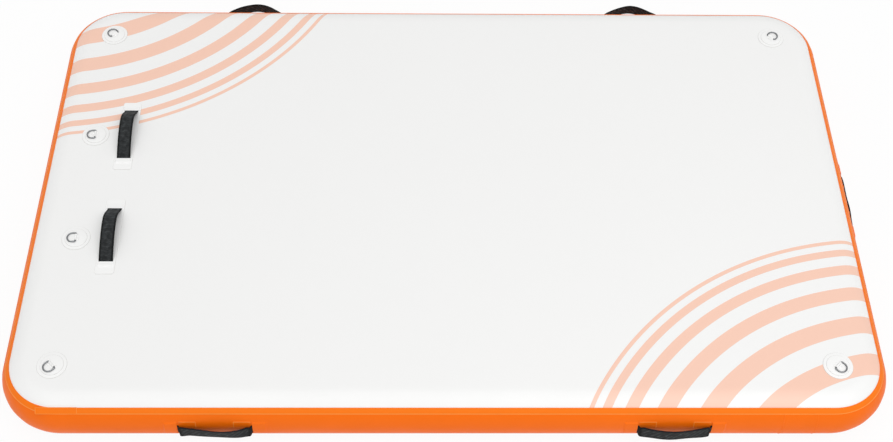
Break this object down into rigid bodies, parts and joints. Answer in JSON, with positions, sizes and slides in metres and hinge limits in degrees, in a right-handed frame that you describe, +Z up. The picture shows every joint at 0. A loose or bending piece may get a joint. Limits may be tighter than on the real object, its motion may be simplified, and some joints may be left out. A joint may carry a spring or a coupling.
{
  "type": "inflatable dock platform",
  "caption": "Rectangular drop-stitch inflatable dock with a white striped deck, orange side band, swinging tie-down rings, webbing handles and a capped valve.",
  "frame": {"origin": "centre of the bottom face, on the surface that the platform lies on", "axes": "+X along the length to the end with the single carry handle, +Y across to the long side with the valve, +Z up through the deck"},
  "size_m": [2.4208, 1.5859, 0.2028],
  "materials": {
    "skin_pvc": "smooth coated PVC, satin",
    "wall_pvc": "coated PVC, semi gloss",
    "liner_pvc": "coated PVC, matt",
    "core_cloth": "polyester base cloth and thread",
    "patch_pvc": "welded PVC patch, satin",
    "wall_patch_pvc": "welded PVC patch, semi gloss",
    "webbing": "ribbed polyester webbing",
    "ring_steel": "polished stainless wire",
    "valve_plastic": "moulded nylon",
    "valve_dark_plastic": "moulded acetal",
    "seal_rubber": "moulded rubber",
    "spring_steel": "stainless spring wire"
  },
  "bodies": {
    "platform": {"deck_skin": "skin_pvc", "bottom_skin": "skin_pvc", "side_wall": "wall_pvc", "side_wall_liner": "liner_pvc", "top_seam_tape": "wall_pvc", "bottom_seam_tape": "wall_pvc", "wall_joint_tape": "wall_pvc", "drop_stitch_core": "core_cloth", "valve_boss": "wall_patch_pvc", "valve_gasket": "seal_rubber", "valve_body": "valve_plastic", "valve_backing_washer": "valve_plastic", "valve_nut": "valve_plastic", "dring_patch_far_left": "patch_pvc", "dring_tab_far_left": "patch_pvc", "dring_patch_far_right": "patch_pvc", "dring_tab_far_right": "patch_pvc", "dring_patch_near_left": "patch_pvc", "dring_tab_near_left": "patch_pvc", "dring_patch_near_right": "patch_pvc", "dring_tab_near_right": "patch_pvc", "dring_patch_end_far": "patch_pvc", "dring_tab_end_far": "patch_pvc", "dring_patch_end_near": "patch_pvc", "dring_tab_end_near": "patch_pvc", "deck_handle_far": "webbing", "deck_handle_far_base": "patch_pvc", "deck_handle_far_patch_far": "patch_pvc", "deck_handle_far_patch_near": "patch_pvc", "deck_handle_near": "webbing", "deck_handle_near_base": "patch_pvc", "deck_handle_near_patch_far": "patch_pvc", "deck_handle_near_patch_near": "patch_pvc", "near_left_handle": "webbing", "near_left_handle_patch_a": "wall_patch_pvc", "near_left_handle_patch_b": "wall_patch_pvc", "near_right_handle": "webbing", "near_right_handle_patch_a": "wall_patch_pvc", "near_right_handle_patch_b": "wall_patch_pvc", "far_left_handle": "webbing", "far_left_handle_patch_a": "wall_patch_pvc", "far_left_handle_patch_b": "wall_patch_pvc", "far_right_handle": "webbing", "far_right_handle_patch_a": "wall_patch_pvc", "far_right_handle_patch_b": "wall_patch_pvc", "end_handle": "webbing", "end_handle_patch_a": "wall_patch_pvc", "end_handle_patch_b": "wall_patch_pvc", "valve_spring": "spring_steel"},
    "ring_far_left": {"dring_far_left": "ring_steel"},
    "ring_far_right": {"dring_far_right": "ring_steel"},
    "ring_near_left": {"dring_near_left": "ring_steel"},
    "ring_near_right": {"dring_near_right": "ring_steel"},
    "ring_end_far": {"dring_end_far": "ring_steel"},
    "ring_end_near": {"dring_end_near": "ring_steel"},
    "valve_plunger_group": {"valve_plunger": "valve_dark_plastic", "valve_seal": "seal_rubber"},
    "cap_seal_group": {"valve_cap_seal": "seal_rubber"},
    "cap_group": {"valve_cap": "valve_plastic"}
  },
  "joints": [
    {"name": "ring_far_left_swing", "type": "hinge", "parent": "platform", "child": "ring_far_left", "pos_m": [-1.052, 0.604, 0.1696], "axis": [0.7071, 0.7071, 0], "range_deg": [0, 180]},
    {"name": "ring_far_right_swing", "type": "hinge", "parent": "platform", "child": "ring_far_right", "pos_m": [1.052, 0.604, 0.1696], "axis": [0.7071, -0.7071, 0], "range_deg": [0, 180]},
    {"name": "ring_near_left_swing", "type": "hinge", "parent": "platform", "child": "ring_near_left", "pos_m": [-1.052, -0.604, 0.1696], "axis": [-0.7071, 0.7071, 0], "range_deg": [0, 180]},
    {"name": "ring_near_right_swing", "type": "hinge", "parent": "platform", "child": "ring_near_right", "pos_m": [1.052, -0.604, 0.1696], "axis": [-0.7071, -0.7071, 0], "range_deg": [0, 180]},
    {"name": "ring_end_far_swing", "type": "hinge", "parent": "platform", "child": "ring_end_far", "pos_m": [-1.052, 0.19, 0.1696], "axis": [0, 1, 0], "range_deg": [0, 180]},
    {"name": "ring_end_near_swing", "type": "hinge", "parent": "platform", "child": "ring_end_near", "pos_m": [-1.052, -0.19, 0.1696], "axis": [0, 1, 0], "range_deg": [0, 180]},
    {"name": "valve_push", "type": "slide", "parent": "platform", "child": "valve_plunger_group", "axis": [0, -1, 0], "range_m": [0, 0.006], "stiffness_N_per_m": 600, "springref_m": -0.004, "deforming": ["valve_spring"]},
    {"name": "cap_pull", "type": "slide", "parent": "platform", "child": "cap_seal_group", "axis": [0, 1, 0], "range_m": [0, 0.025]},
    {"name": "cap_turn", "type": "hinge", "parent": "cap_seal_group", "child": "cap_group", "pos_m": [0, 0.6705, 0.0725], "axis": [0, 1, 0], "range_deg": [0, 90]}
  ]
}
